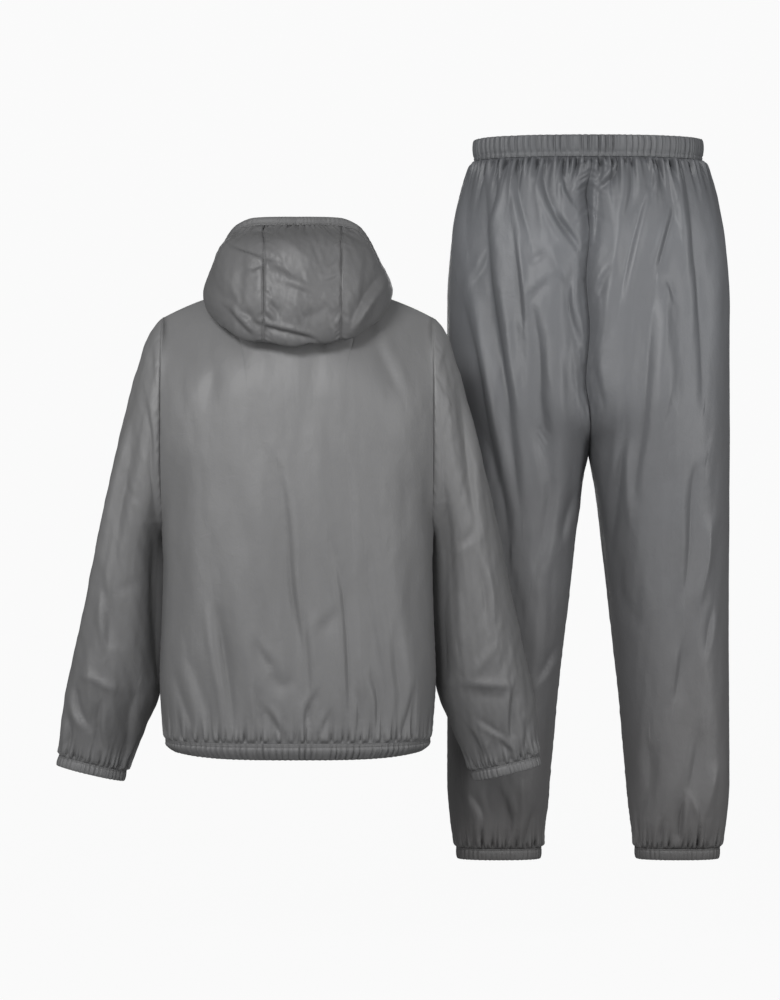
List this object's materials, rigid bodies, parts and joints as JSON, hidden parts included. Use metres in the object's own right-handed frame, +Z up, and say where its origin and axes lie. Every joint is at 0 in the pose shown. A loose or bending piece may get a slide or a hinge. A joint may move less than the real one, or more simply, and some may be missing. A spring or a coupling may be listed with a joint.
{
  "type": "jacket and trousers set",
  "caption": "Hooded zip-front wind jacket and elastic-waist track trousers, filled out as if worn, placed side by side with the jacket in front.",
  "frame": {"origin": "middle of the jacket's neck opening, where the wearer holds it up", "axes": "+Z up, backs of both garments towards -Y, the wearer's left towards -X"},
  "size_m": [0.9841, 0.5383, 1.0705],
  "materials": {
    "jacket_nylon": "smooth woven nylon, soft sheen",
    "hood_nylon": "smooth woven nylon, soft sheen",
    "trouser_nylon": "smooth woven nylon, satin sheen",
    "zip_tape": "woven tape with moulded coil",
    "zip_metal": "satin"
  },
  "bodies": {
    "garments": {"jacket_back": "jacket_nylon", "jacket_front_left": "jacket_nylon", "jacket_front_right": "jacket_nylon", "hem_band": "jacket_nylon", "sleeve_left": "jacket_nylon", "cuff_left": "jacket_nylon", "sleeve_right": "jacket_nylon", "cuff_right": "jacket_nylon", "hood_side_left": "hood_nylon", "hood_centre": "hood_nylon", "hood_side_right": "hood_nylon", "hood_casing": "hood_nylon", "zip_strip": "zip_tape", "zip_slider": "zip_metal", "waistband": "trouser_nylon", "leg_back_left": "trouser_nylon", "leg_front_left": "trouser_nylon", "leg_back_right": "trouser_nylon", "leg_front_right": "trouser_nylon", "ankle_cuff_left": "trouser_nylon", "ankle_cuff_right": "trouser_nylon"},
    "pull_tab": {"zip_pull_tab": "zip_metal"}
  },
  "joints": [
    {"name": "pull_tab_swing", "type": "hinge", "parent": "garments", "child": "pull_tab", "pos_m": [0, 0.10902, -0.03], "axis": [1, 0, 0], "range_deg": [0, 160]}
  ]
}
